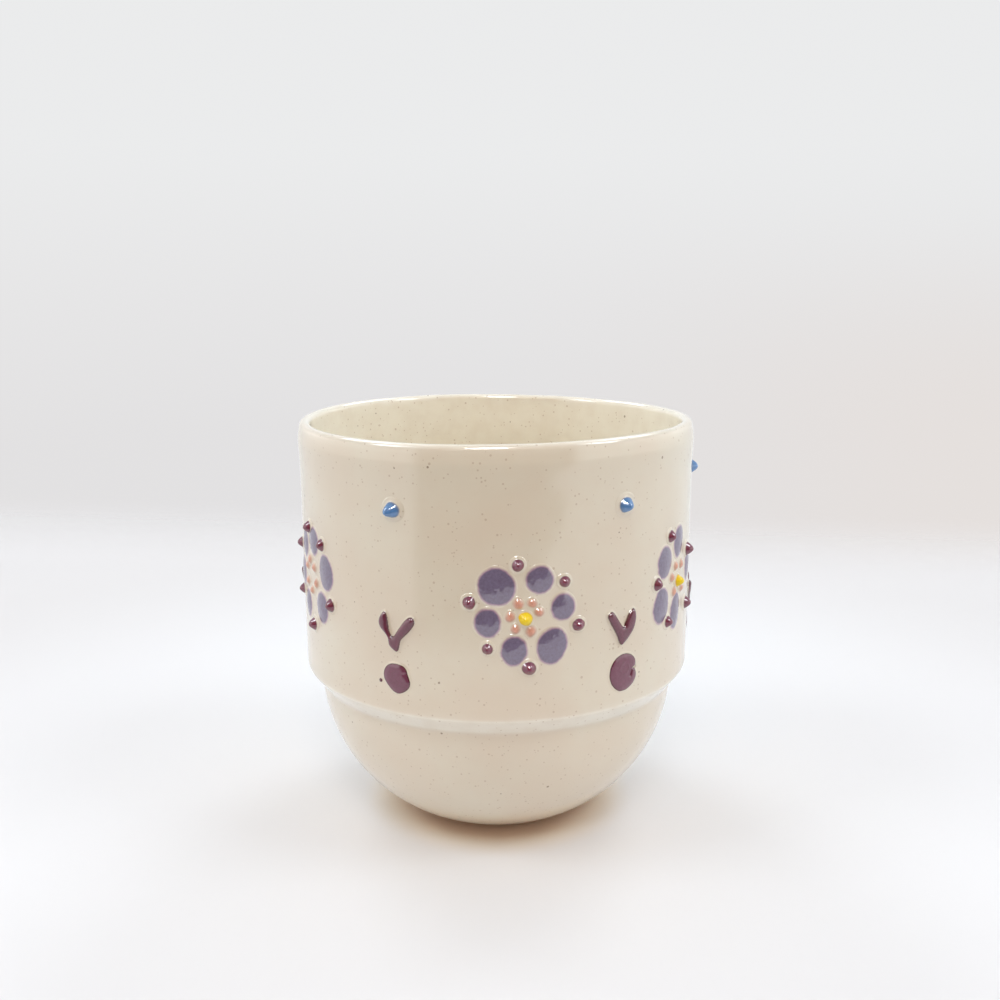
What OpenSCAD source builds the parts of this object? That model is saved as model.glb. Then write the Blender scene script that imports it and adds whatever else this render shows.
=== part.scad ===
// Handleless stoneware mug with a stepped, bowl-shaped base and raised dot flowers.
// Millimetres. The table is at z = 0, the mug's axis is Z and its front faces -Y.
// A turn is an angle in degrees about Z, from the front and growing to the right.
// A clock angle is in degrees from straight up on the wall, growing to the right.

/* [Body] */
// Height from the table to the top of the lip
mug_h = 88; // [80:1:104]
// Outside diameter of the straight wall
wall_d = 84.6; // [80:0.2:96]
// Thickness of the wall and of the bowl
wall_t = 3; // [2.2:0.1:4.2]
// Thickness of the floor
floor_t = 3.4; // [2.4:0.1:6]

/* [Rim] */
// How far the wall flares out under the lip
flare_out = 0.3; // [0:0.1:1]
// Distance from the top of the lip down to where the flare begins
flare_drop = 9.5; // [8:0.5:10]
// Distance from the top of the lip down to the widest point
widest_drop = 3.6; // [3:0.1:5]
// How far the lip's outer edge is drawn in from the widest point
lip_in = 0.55; // [0.2:0.05:1]
// Thickness of the lip
lip_t = 2.2; // [1.8:0.1:2.6]
// Distance from the top of the lip down to where the inside is straight
lip_taper_h = 9; // [6:0.5:14]

/* [Step and bowl] */
// Height from the table to the lower edge of the straight wall
step_z = 34.8; // [32:0.1:40]
// Height of the sloping step under the wall
step_h = 4; // [3:0.1:5.5]
// How far the step runs in
step_in = 3.1; // [2:0.1:4.2]
// Radius of the curve of the bowl's side
bowl_r = 35; // [32:0.5:48]
// Diameter of the flat foot
foot_d = 34; // [28:1:42]
// Rounding of the glaze over the edges of the step
crease_r = 0.7; // [0.3:0.1:1.2]
// Rounding of the foot's edge
foot_edge_r = 3; // [1:0.5:5]

/* [Flowers] */
// Height of a flower's middle above the lower edge of the wall
flower_up = 21.2; // [18:0.1:24]
// Distance from a plain flower's middle to its petals
petal_ring = 7.4; // [7:0.1:8.2]
// Width of a plain petal
petal_w = 5.4; // [4.6:0.1:6]
// Height of a plain petal
petal_h = 5.8; // [4.6:0.1:6.4]
// How proud a petal stands
petal_rise = 0.45; // [0.3:0.05:0.8]
// Distance from a plain flower's middle to its outer beads
bead_ring = 10.2; // [9.8:0.1:10.8]
// Width of a plain outer bead
bead_w = 2.4; // [1.8:0.1:2.8]
// How proud a bead stands, as a share of its width
bead_rise = 0.66; // [0.4:0.02:0.8]
// Distance from a plain flower's middle to its florets
floret_ring = 2.9; // [2.7:0.1:3.2]
// Width of a plain floret
floret_w = 1.7; // [1.3:0.1:1.8]
// How proud a floret stands
floret_rise = 0.4; // [0.2:0.05:0.7]
// Width of the yellow bead in a flower's middle
centre_w = 2.5; // [1.8:0.1:2.8]

/* [Columns] */
// Distance from the top of the lip down to the blue beads
blue_drop = 13; // [12.8:0.1:16]
// Width of a blue bead
blue_w = 3.1; // [2:0.1:4]
// Height of a V mark's tip above the lower edge of the wall
vee_up = 13.2; // [12.4:0.1:15]
// Height of a V mark from its tip to the tops of its arms
vee_h = 5.7; // [4:0.1:8]
// Distance between the tops of the arms
vee_w = 5.8; // [4:0.1:7]
// Thickness of an arm at its top
vee_t = 2.1; // [1.4:0.1:2.4]
// Thickness of a V mark at its tip
vee_tip_t = 1.1; // [0.6:0.1:1.6]
// Height of a disc's middle above the lower edge of the wall
disc_up = 7.1; // [6.2:0.1:7.4]
// Width of a plain disc
disc_w = 6.4; // [4:0.1:7]
// Height of a plain disc
disc_h = 7.2; // [5:0.1:7.6]
// How proud a disc stands
disc_rise = 0.6; // [0.3:0.05:1]

/* [Hidden] */

// Radii of the wall, the rim, the step and the foot
wall_r = wall_d / 2;
rim_r = wall_r + flare_out;
lip_r = rim_r - lip_in;
inside_r = wall_r - wall_t;
foot_r = foot_d / 2;

// The step's lower edge, and the same edge inside, moved in by the wall
bowl_top = [wall_r - step_in, step_z - step_h];
step_shift = wall_t * tan(atan2(step_in, step_h) / 2);
inner_bowl_top = bowl_top + [-wall_t, step_shift];

// The floor's edge, where the bowl's curve ends inside
floor_edge = [foot_r - 0.6, floor_t];

// Roundings of the soft blends, and the largest angles between points of a curve
flare_blend_r = 30;
widest_blend_r = 3;
lip_edge_r = lip_t * 0.45;
inside_blend_r = 12;
bowl_step = 3;
blend_step = 10;

// Facet counts: the seat's is high because the raised marks are so thin
body_fn = 192;
seat_fn = 720;
dome_fn = 160;
bead_fn = 64;

// How deep a bead is rooted before the wall trims it
bead_root = 1;
// How far a dome's curve runs on past its edge, as a share of half its height,
// and the most it may run to, as a share of its radius
dome_overrun = 1.2;
dome_reach_limit = 0.95;
// Thickness of a V mark's strokes, as a share of their rounded ends'
stroke_share = 0.95;
// How far the middle of a V mark's strokes lies under the wall's face
vee_sink = 0.12;

// Petals of the seen flowers: clock angle, distance from the middle, width, height, lean
front_petals = [[-41, 8.2, 7.1, 7.3, 0], [20, 7.8, 5.3, 5.6, -15], [76, 7.4, 4.8, 5.5, 0],
                [138, 7.6, 5.9, 7.5, -18], [199, 6.6, 5.2, 5.8, 0], [264, 7.1, 5.2, 5.6, 20]];
left_petals = [[-34, 7.6, 5, 6.4, 0], [12, 8, 5.2, 6.2, 0], [72, 7.7, 5.8, 7.4, 8],
               [136, 7.4, 5.4, 6.6, 8], [207, 7.3, 5, 6.2, 0], [266, 7.2, 5, 6.8, 0]];
right_petals = [[-2, 8.1, 5.2, 7, -8], [-53, 8.3, 5.6, 7, -6], [78, 7.2, 5, 7.4, 0],
                [244, 8.6, 6, 7.4, -6], [192, 6.6, 5.2, 7.6, -8]];

// Outer beads of the seen flowers: clock angle, distance from the middle, width
front_beads = [[-8, 10.4, 2.3], [48, 10, 2.2], [101, 10.5, 2.5],
               [176, 9.7, 2.7], [231, 9.1, 2.1], [-73, 10.9, 2.5]];
left_beads = [[-4, 10.3, 2.7], [-58, 10, 2.4], [37, 9.9, 2.5],
              [240, 9.6, 2.4], [113, 9.9, 2.7], [176, 10, 2.8]];
right_beads = [[-25, 11, 2.5], [52, 9.8, 3.1], [277, 9.6, 2.6], [126, 9.6, 2.8], [213, 9.2, 2.5]];

// Florets of the seen flowers: clock angle, distance from the middle, width
front_florets = [[-25, 3.2, 1.8], [23, 3.2, 1.6], [66, 2.8, 1.6],
                 [158, 2.7, 1.8], [224, 2.7, 1.6], [279, 2.9, 1.7]];
left_florets = [[-10, 3.6, 1.8], [-55, 3.2, 1.8], [38, 2.9, 1.8],
                [240, 2.9, 1.7], [108, 2.8, 1.8], [178, 2.9, 1.7]];
right_florets = [[-28, 3.6, 1.8], [26, 3.2, 1.8], [-72, 3.6, 1.8], [228, 3.1, 1.8], [140, 3, 1.7]];

// Marks of the plain flowers on the far side, one sixth of a turn apart
plain_petals = [for (k = [0 : 5]) [k * 60 - 40, petal_ring, petal_w, petal_h, 0]];
plain_beads = [for (k = [0 : 5]) [k * 60 - 10, bead_ring, bead_w]];
plain_florets = [for (k = [0 : 5]) [k * 60 - 25, floret_ring, floret_w]];

// Every flower: turn, rise over the common height, petals, beads, florets, yellow middle
flowers = concat(
    [[7.5, -0.7, front_petals, front_beads, front_florets, true],
     [-63, 1, left_petals, left_beads, left_florets, false],
     [61.5, 0.5, right_petals, right_beads, right_florets, true]],
    [for (turn = [119, 178, 238]) [turn, 0, plain_petals, plain_beads, plain_florets, true]]);

// Every column: turn, rise and lean of the blue bead, tops of the V mark's arms,
// and width, height and lean of the disc
columns = concat(
    [[-27, 0, [12, -24], [-2.9, 5.9], [3.2, 4.8], [5.7, 6.9, 28]],
     [35.3, 0.2, [6, 4], [-2.6, 5.8], [2.9, 5.4], [7, 8, -10]]],
    [for (q = [[88, 1.6], [148, 0.5], [208, -0.4], [268, 0.3]])
        [q[0], q[1], [0, 0], [-vee_w / 2, vee_h], [vee_w / 2, vee_h], [disc_w, disc_h, 0]]]);

// Splash beside the front left disc: turn, height above the wall's edge, width, rise
splash = [-31.4, 6.1, 0.7, 0.2];

// Point at a distance and a direction from a centre
function polar(centre, r, a) = centre + r * [cos(a), sin(a)];

// Turn from one direction to another, between -180 and 180 degrees
function turn_between(a, b) = let (d = b - a) d - 360 * round(d / 360);

function reverse(list) = [for (i = [len(list) - 1 : -1 : 0]) list[i]];

// Points with no rounding of their own
function sharp(points) = [for (q = points) [q.x, q.y, 0]];

// Points of the arc of radius r that climbs from a to b and bulges outward
function side_arc(a, b, r) =
    let (chord = b - a,
         inward = [-chord.y, chord.x] / norm(chord),
         centre = (a + b) / 2 + inward * sqrt(r * r - pow(norm(chord) / 2, 2)),
         a0 = atan2(a.y - centre.y, a.x - centre.x),
         sweep = turn_between(a0, atan2(b.y - centre.y, b.x - centre.x)),
         n = ceil(abs(sweep) / bowl_step))
    [for (k = [1 : n - 1]) polar(centre, r, a0 + sweep * k / n)];

// Points that round the corner b, between a and c, to radius r
function rounded_corner(a, b, c, r) =
    let (u = (a - b) / norm(a - b),
         w = (c - b) / norm(c - b),
         bend = norm(u + w),
         half = acos(u * w) / 2)
    r == 0 || bend < 0.001 ? [b] :
    let (centre = b + (u + w) / bend * r / sin(half),
         start = b + u * r / tan(half) - centre,
         end = b + w * r / tan(half) - centre,
         a0 = atan2(start.y, start.x),
         sweep = turn_between(a0, atan2(end.y, end.x)),
         n = max(2, ceil(abs(sweep) / blend_step)))
    [for (k = [0 : n]) polar(centre, r, a0 + sweep * k / n)];

// A closed outline from corners of the form [x, y, rounding]
function rounded_outline(corners) =
    let (n = len(corners),
         p = [for (q = corners) [q.x, q.y]])
    [for (i = [0 : n - 1])
        each rounded_corner(p[(i + n - 1) % n], p[i], p[(i + 1) % n], corners[i].z)];

// Corners of half the section, from the axis under the foot up the outside to the lip
outside_corners = concat(
    [[0, 0, 0], [foot_r, 0, foot_edge_r]],
    sharp(side_arc([foot_r, 0], bowl_top, bowl_r)),
    [[bowl_top.x, bowl_top.y, crease_r],
     [wall_r, step_z, crease_r],
     [wall_r, mug_h - flare_drop, flare_blend_r],
     [rim_r, mug_h - widest_drop, widest_blend_r],
     [lip_r, mug_h, lip_edge_r]]);

// Corners from the lip down the inside to the axis
inside_corners = concat(
    [[lip_r - lip_t, mug_h, lip_edge_r],
     [inside_r, mug_h - lip_taper_h, inside_blend_r],
     [inside_r, step_z + step_shift, crease_r],
     [inner_bowl_top.x, inner_bowl_top.y, crease_r]],
    sharp(reverse(side_arc(floor_edge, inner_bowl_top, bowl_r - wall_t))),
    [[floor_edge.x, floor_edge.y, 0], [0, floor_t, 0]]);

// The fired clay body, turned in one piece
module mug_body() {
    color("#d9ccb8")
        rotate_extrude($fn = body_fn)
            polygon(rounded_outline(concat(outside_corners, inside_corners)));
}

// Draws on the wall: x runs right, y runs up and z points out of the wall
module on_wall(turn, z) {
    rotate([0, 0, turn])
        translate([0, -wall_r, z])
            rotate([90, 0, 0])
                children();
}

// Draws at a clock angle and a distance from the middle of a flower
module around(flower, clock, ring) {
    across = ring * sin(clock) / wall_r * 180 / PI;
    on_wall(flower[0] + across, step_z + flower_up + flower[1] + ring * cos(clock))
        children();
}

// Trims what is drawn to the face of the straight wall
module seated() {
    difference() {
        union()
            children();
        cylinder(r = wall_r, h = mug_h, $fn = seat_fn);
    }
}

// Low oval dome, like a drop of slip that has levelled itself, spun about its upright axis
module dome(w, h, rise) {
    across_r = (w * w / 4 + rise * rise) / (2 * rise);
    along_r = (h * h / 4 + rise * rise) / (2 * rise);
    reach = min(h / 2 * dome_overrun, along_r * dome_reach_limit);
    steps = 10;
    translate([0, 0, rise - across_r])
        rotate([-90, 0, 0])
            rotate_extrude($fn = dome_fn)
                polygon(concat(
                    [[0, -reach]],
                    [for (k = [0 : steps])
                        let (y = reach * (2 * k / steps - 1))
                        [across_r - along_r + sqrt(along_r * along_r - y * y), y]],
                    [[0, reach]]));
}

// Pointed bead, with a skirt that runs out over the wall and a blunt tip
module bead(w, lean = [0, 0]) {
    r = w / 2;
    rise = w * bead_rise;
    shoulder = [r * 0.76, rise * 0.2];
    tip_r = r * 0.42;
    tip = [0, rise - tip_r];
    away = shoulder - tip;
    flank = atan2(away.y, away.x) + acos(tip_r / norm(away));
    tip_steps = 4;
    rotate([lean.x, lean.y, 0])
        rotate_extrude($fn = bead_fn)
            polygon(concat(
                [[0, -bead_root], [r, -bead_root], [r, 0], shoulder],
                [for (k = [0 : tip_steps]) polar(tip, tip_r, flank + (90 - flank) * k / tip_steps)]));
}

// V mark with its tip at the origin: strokes from the tops of the arms, which are fuller
// than the strokes, to one rounded tip
module vee(arm_tops) {
    sphere(d = vee_tip_t, $fn = bead_fn);
    for (top = arm_tops)
        translate([top.x, top.y, 0]) {
            sphere(d = vee_t, $fn = bead_fn);
            rotate([0, 90, atan2(-top.y, -top.x)])
                cylinder(d1 = vee_t * stroke_share, d2 = vee_tip_t * stroke_share,
                         h = norm(top), $fn = bead_fn);
        }
}

// Lavender petals
module petals() {
    color("#77759a")
        for (flower = flowers, p = flower[2])
            seated()
                around(flower, p[0], p[1])
                    rotate([0, 0, p[4]])
                        dome(p[2], p[3], petal_rise);
}

// Maroon beads round the flowers
module outer_beads() {
    color("#5f2f45")
        for (flower = flowers, b = flower[3])
            seated()
                around(flower, b[0], b[1])
                    bead(b[2]);
}

// Salmon dots round the flowers' middles
module florets() {
    color("#dba48e")
        for (flower = flowers, f = flower[4])
            seated()
                around(flower, f[0], f[1])
                    dome(f[2], f[2], floret_rise);
}

// Yellow beads in the flowers' middles, missing on the left flower
module yellow_centres() {
    color("#f0cf1e")
        for (flower = flowers)
            if (flower[5])
                seated()
                    around(flower, 0, 0)
                        bead(centre_w);
}

// Blue beads under the rim
module blue_beads() {
    color("#4f86bf")
        for (c = columns)
            seated()
                on_wall(c[0], mug_h - blue_drop + c[1])
                    bead(blue_w, c[2]);
}

// V marks, each of two tapered strokes that run into one tip
module v_marks() {
    color("#633248")
        for (c = columns)
            seated()
                on_wall(c[0], step_z + vee_up)
                    translate([0, 0, -vee_sink])
                        vee([c[3], c[4]]);
}

// Maroon discs under the V marks, with a splash beside one
module maroon_discs() {
    color("#7d4a63")
    {
        for (c = columns)
            seated()
                on_wall(c[0], step_z + disc_up)
                    rotate([0, 0, c[5].z])
                        dome(c[5].x, c[5].y, disc_rise);
        seated()
            on_wall(splash[0], step_z + splash[1])
                dome(splash[2], splash[2], splash[3]);
    }
}

mug_body();
petals();
outer_beads();
florets();
yellow_centres();
blue_beads();
v_marks();
maroon_discs();
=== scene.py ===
# %% [markdown]
# # A handleless stoneware mug with raised slip flowers
#
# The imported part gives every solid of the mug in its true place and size: the turned clay body,
# and the slip marks that sit on its wall. This lesson dresses them. The body gets its speckled
# cream glaze, and each mark is laid again as a drop of slip under clear glaze, on the very spot
# of its solid. Lengths inside the lesson are millimetres, and MM turns them into Blender's metres.

import math

import bpy
import numpy as np
from mathutils import Euler, Matrix, Vector


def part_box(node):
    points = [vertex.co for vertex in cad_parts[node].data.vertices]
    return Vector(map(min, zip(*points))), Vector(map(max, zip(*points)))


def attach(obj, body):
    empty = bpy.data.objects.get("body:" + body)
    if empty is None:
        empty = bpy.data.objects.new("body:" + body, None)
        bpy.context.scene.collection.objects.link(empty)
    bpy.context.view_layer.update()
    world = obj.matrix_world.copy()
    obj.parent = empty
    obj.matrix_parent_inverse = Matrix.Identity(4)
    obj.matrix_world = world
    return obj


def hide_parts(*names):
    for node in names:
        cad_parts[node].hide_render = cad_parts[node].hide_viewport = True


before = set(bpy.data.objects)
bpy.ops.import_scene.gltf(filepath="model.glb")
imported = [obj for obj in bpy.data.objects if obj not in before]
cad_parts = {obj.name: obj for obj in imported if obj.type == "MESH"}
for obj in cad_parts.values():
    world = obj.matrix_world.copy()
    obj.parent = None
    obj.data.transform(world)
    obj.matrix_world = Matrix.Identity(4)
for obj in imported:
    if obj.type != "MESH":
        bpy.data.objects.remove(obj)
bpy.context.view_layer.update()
MM = 0.001

for name in sorted(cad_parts):
    low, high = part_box(name)
    size = [round((h - l) / MM, 1) for l, h in zip(low, high)]
    print(f"{name}: {size[0]} x {size[1]} x {size[2]} mm")

# %% [markdown]
# ## The camera
#
# A camera that was fitted to the mug's outline says where the lens was: three centimetres above
# the lip and 23 centimetres from the mug's middle, looking down by twelve degrees. Its focal
# length comes in pixels of a picture 1000 pixels wide, and turns into millimetres here.

# %% Place the camera
PICTURE_WIDTH = 1000
FOCAL_PIXELS = 1054.5
SENSOR_WIDTH = 36
CAMERA_PLACE = (0.867, -228.0, 117.5)
CAMERA_PITCH = 0.2105
CAMERA_ROLL = -0.0027

camera_data = bpy.data.cameras.new("camera")
camera_data.sensor_width = SENSOR_WIDTH
camera_data.lens = FOCAL_PIXELS / PICTURE_WIDTH * SENSOR_WIDTH
camera_data.clip_start = 1 * MM
camera = bpy.data.objects.new("camera", camera_data)
bpy.context.scene.collection.objects.link(camera)
level_view = Euler((math.pi / 2 - CAMERA_PITCH, 0, 0)).to_matrix().to_4x4()
camera.matrix_world = (Matrix.Translation(Vector(CAMERA_PLACE) * MM) @ level_view
                       @ Matrix.Rotation(CAMERA_ROLL, 4, "Z"))
bpy.context.scene.camera = camera
bpy.context.scene.view_settings.view_transform = "Standard"
print(f"lens {camera_data.lens:.1f} mm")

# %% [markdown]
# ## Reading the part
#
# The marks were trimmed to the wall's cylinder, so the vertex of a mark that lies nearest the
# axis gives the wall's radius. Wall coordinates make the rest easy: across is the distance round
# the wall from its front, up is the height, and proud is how far a point stands off the wall.

# %% Wall coordinates
def points_of(node):
    """The vertices of a CAD node, in millimetres, as an array with a row for each."""
    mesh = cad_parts[node].data
    flat = np.empty(len(mesh.vertices) * 3)
    mesh.vertices.foreach_get("co", flat)
    return flat.reshape(-1, 3) / MM


def radius_of(points):
    return np.hypot(points[:, 0], points[:, 1])


wall_r = radius_of(points_of("maroon_discs")).min()
print(f"the wall's radius is {wall_r:.2f} mm")


def to_wall(points):
    """Points of one mark as rows of (across, up, proud). The turns don't jump at the back."""
    middle = np.arctan2(points[:, 0].mean(), -points[:, 1].mean())
    turn = np.arctan2(points[:, 0], -points[:, 1]) - middle
    turn = middle + (turn + math.pi) % (2 * math.pi) - math.pi
    return np.column_stack([turn * wall_r, points[:, 2], radius_of(points) - wall_r])


def from_wall(across, up, proud):
    """The point of the mug at those wall coordinates, in metres."""
    turn = across / wall_r
    r = wall_r + proud
    return np.stack([r * np.sin(turn), -r * np.cos(turn), up + 0 * r], axis=-1) * MM


# %% Split a node into its separate marks
def marks_of(node):
    """The separate solids of a node, each as an array of wall coordinates."""
    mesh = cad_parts[node].data
    points = points_of(node)
    _, same = np.unique(np.round(points, 4), axis=0, return_inverse=True)
    group = np.arange(same.max() + 1)
    same = same.ravel()

    def head(i):
        while group[i] != i:
            group[i] = group[group[i]]
            i = group[i]
        return i

    for edge in mesh.edges:
        a, b = (head(same[v]) for v in edge.vertices)
        group[a] = b
    heads = np.array([head(i) for i in same])
    marks = [to_wall(points[heads == h]) for h in np.unique(heads)]
    return sorted(marks, key=lambda mark: (mark[:, 0].mean(), mark[:, 1].mean()))


marks = {node: marks_of(node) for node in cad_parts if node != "mug_body"}
for node in sorted(marks):
    print(f"{node}: {len(marks[node])} marks")

# %% [markdown]
# ## The ground and the light
#
# The mug stood in a small white light box: a white card under it, bright walls at both sides, a
# dimmer back, a pale top, and an open front with the dimmer room beyond. That is what its glaze
# mirrors. The box is painted on the world by direction, so it lights the mug evenly from every
# side. The open front stays dim, and gives the wall its darker middle and the petals their two
# tones. A few small bright panels, and round windows that only the glaze mirrors, put the glints
# on the slip. The camera sees none of this: for it the world is one pale grey, and the card's
# edges fade into that.

# %% Small helpers for node trees
def add_node(tree, kind, **settings):
    """A new node with its attributes set."""
    node = tree.nodes.new(kind)
    for key, value in settings.items():
        setattr(node, key, value)
    return node


def plug(tree, source, target):
    tree.links.new(source, target)


def arithmetic(tree, operation, a, b=None):
    """A Math node. A number is set on the socket and a socket is linked to it."""
    node = add_node(tree, "ShaderNodeMath", operation=operation)
    for socket, value in zip(node.inputs, (a, b)):
        if isinstance(value, bpy.types.NodeSocket):
            plug(tree, value, socket)
        elif value is not None:
            socket.default_value = value
    return node.outputs[0]


def fade(tree, value, start, end, low=0.0, high=1.0):
    """Goes smoothly from low at start to high at end."""
    node = add_node(tree, "ShaderNodeMapRange", interpolation_type="SMOOTHSTEP")
    plug(tree, value, node.inputs["Value"])
    for name, number in (("From Min", start), ("From Max", end), ("To Min", low), ("To Max", high)):
        node.inputs[name].default_value = number
    return node.outputs["Result"]


def blend_colours(tree, share, a, b):
    """A Mix node between two colours, each a socket or a plain colour."""
    node = add_node(tree, "ShaderNodeMix", data_type="RGBA")
    for name, value in (("Factor_Float", share), ("A_Color", a), ("B_Color", b)):
        socket = next(s for s in node.inputs if s.identifier == name)
        if isinstance(value, bpy.types.NodeSocket):
            plug(tree, value, socket)
        elif name == "Factor_Float":
            socket.default_value = value
        else:
            socket.default_value = (*value, 1)
    return next(s for s in node.outputs if s.identifier == "Result_Color")


def new_tree(material_name):
    """A new material and its emptied node tree."""
    material = bpy.data.materials.new(material_name)
    material.use_nodes = True
    material.node_tree.nodes.clear()
    return material, material.node_tree


# %% The colours of the light box
# Each row is a height above the horizon in degrees, and the colour there.
TOP = (0.40, 0.46, 0.52)
BAND = (0.62, 0.66, 0.70)
BRIGHT_WALL = (1.48, 1.49, 1.46)
BACK_WALL = (0.85, 0.86, 0.86)
DIM_ROOM = (0.20, 0.15, 0.11)
WARM_ROOM = (0.62, 0.42, 0.30)
WALLS = ((-3, (0.92, 0.94, 0.95)), (3, BRIGHT_WALL), (17, BRIGHT_WALL),
         (24, BAND), (66, BAND), (72, TOP))
BACK = ((-3, (0.88, 0.90, 0.91)), (3, BACK_WALL), (17, BACK_WALL),
        (24, BAND), (66, BAND), (72, TOP))
OPEN_FRONT = ((-3, (0.17, 0.16, 0.14)), (3, DIM_ROOM), (17, DIM_ROOM),
              (24, WARM_ROOM), (46, WARM_ROOM), (66, (0.42, 0.42, 0.42)), (72, TOP))
BACKDROP = ((-12, (0.765, 0.755, 0.760)), (-8, (0.765, 0.755, 0.760)),
            (-1, (0.795, 0.790, 0.795)), (6, (0.830, 0.835, 0.840)))
WARM_CORNER = (0.785, 0.745, 0.725)
print(f"the sides are painted in {len(WALLS)} rows, and the open front in {len(OPEN_FRONT)}")

# %% The places of the light box's parts
# A span goes from one angle to another, and its ends are blurred over the third number.
# Bearings are 0 at the front and grow to the right.
FRONT_SPAN = (-46, 44, 10)
SIDES_SPAN = (-138, 138, 20)
CORNER_SPAN = (90, 168, 30)
CORNER_HEIGHTS = (-90, -2, 12)
PANEL_BLUR = 2
SIDE_PANEL = (5.6, 6.0, 6.4)
# A panel has its bearings, its heights and its colour.
PANELS = ((-16, 14, 48, 62, (7.0, 7.2, 7.3)),
          *((left, left + 30, 38, 54, SIDE_PANEL) for left in (60, -90, 130, -160)))
print(f"{len(PANELS)} bright panels")


# %% Helpers that paint by direction
# A colour ramp holds no colour above 1. So the ramps are divided by this level, and the world's
# strength multiplies them again.
BOX_LEVEL = 8


def span_mask(tree, angle, low, high, blur):
    """A mask that is 1 between two angles in degrees, with soft ends."""
    low, high, blur = (math.radians(v) for v in (low, high, blur))
    rises = fade(tree, angle, low - blur / 2, low + blur / 2)
    falls = fade(tree, angle, high - blur / 2, high + blur / 2, 1, 0)
    return arithmetic(tree, "MULTIPLY", rises, falls)


def share_of_height(tree, height):
    """Runs from 0 straight below to 1 straight above."""
    return arithmetic(tree, "ADD", arithmetic(tree, "MULTIPLY", height, 1 / math.pi), 0.5)


def colours_by_height(tree, height, stops, level=BOX_LEVEL):
    """Colours that follow the height above the horizon in degrees, divided by level."""
    node = add_node(tree, "ShaderNodeValToRGB")
    plug(tree, share_of_height(tree, height), node.inputs["Fac"])
    ramp = node.color_ramp
    while len(ramp.elements) < len(stops):
        ramp.elements.new(0.5)
    for element, (degrees, colour) in zip(ramp.elements, stops):
        element.position = (degrees + 90) / 180
        element.color = (*(c / level for c in colour), 1)
    return node.outputs["Color"]


# %% Paint the world: the light box for the light, a pale backdrop for the camera
world = bpy.data.worlds.new("light_box")
bpy.context.scene.world = world
world.use_nodes = True
tree = world.node_tree
tree.nodes.clear()
direction = add_node(tree, "ShaderNodeSeparateXYZ")
plug(tree, add_node(tree, "ShaderNodeTexCoord").outputs["Generated"], direction.inputs[0])
x, y, z = direction.outputs
bearing = arithmetic(tree, "ARCTAN2", x, arithmetic(tree, "MULTIPLY", y, -1.0))
height = arithmetic(tree, "ARCSINE", z)
box = blend_colours(tree, span_mask(tree, bearing, *SIDES_SPAN), colours_by_height(tree, height, BACK),
                    colours_by_height(tree, height, WALLS))
box = blend_colours(tree, span_mask(tree, bearing, *FRONT_SPAN), box,
                    colours_by_height(tree, height, OPEN_FRONT))
for left, right, bottom, top, colour in PANELS:
    panel = arithmetic(tree, "MULTIPLY", span_mask(tree, bearing, left, right, PANEL_BLUR),
                       span_mask(tree, height, bottom, top, PANEL_BLUR))
    box = blend_colours(tree, panel, box, tuple(c / BOX_LEVEL for c in colour))
corner = arithmetic(tree, "MULTIPLY", span_mask(tree, bearing, *CORNER_SPAN),
                    span_mask(tree, height, *CORNER_HEIGHTS))
pale = blend_colours(tree, corner, colours_by_height(tree, height, BACKDROP, 1), WARM_CORNER)

path = add_node(tree, "ShaderNodeLightPath")
seen = add_node(tree, "ShaderNodeBackground")
plug(tree, pale, seen.inputs["Color"])
lit = add_node(tree, "ShaderNodeBackground")
plug(tree, box, lit.inputs["Color"])
lit.inputs["Strength"].default_value = BOX_LEVEL
mix = add_node(tree, "ShaderNodeMixShader")
plug(tree, path.outputs["Is Camera Ray"], mix.inputs["Fac"])
plug(tree, lit.outputs[0], mix.inputs[1])
plug(tree, seen.outputs[0], mix.inputs[2])
plug(tree, mix.outputs[0], add_node(tree, "ShaderNodeOutputWorld").inputs["Surface"])
print(f"the world has {len(tree.nodes)} nodes")

# %% The white card
# Its tint is painted: a warm shadow close to the mug, standing in for the shade and the warm light
# that the mug bounces under itself, then white, then painted shade that greys it far away, where
# the light falls off. The spans are in millimetres from the mug's middle.
CARD_HALF = 500
# Painted warm shadow under and round the mug's foot.
CARD_PAINTED_WARM_SHADOW = (0.81, 0.725, 0.600)
CARD_WHITE = (0.785, 0.781, 0.787)
# Painted shade: the card is darker far from the mug.
CARD_PAINTED_FAR_SHADE = (0.698, 0.678, 0.670)
PAINTED_SHADOW_TO_WHITE = (22, 32)
WHITE_TO_PAINTED_SHADE = (70, 230)
CARD_ROUGHNESS = 0.9
CARD_SPECULAR = 0.2
# An edge has its turn in degrees, its distance, and the width over which it fades.
CARD_EDGES = ((-90, 330, 45), (90, 330, 45), (173, 307, 130), (-24, 205, 45))


def card_edge(tree, position, turn, reach, width):
    """A mask that fades out along one edge of the card."""
    turn = math.radians(turn)
    node = add_node(tree, "ShaderNodeVectorMath", operation="DOT_PRODUCT")
    node.inputs[1].default_value = (math.sin(turn), -math.cos(turn), 0)
    plug(tree, position, node.inputs[0])
    return fade(tree, node.outputs["Value"], (reach - width) * MM, reach * MM, 1, 0)


card_mesh = bpy.data.meshes.new("card")
card_corners = [(x * CARD_HALF * MM, y * CARD_HALF * MM, 0) for x, y in ((-1, -1), (1, -1), (1, 1), (-1, 1))]
card_mesh.from_pydata(card_corners, [], [(0, 1, 2, 3)])
card = bpy.data.objects.new("card", card_mesh)
bpy.context.scene.collection.objects.link(card)

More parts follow.
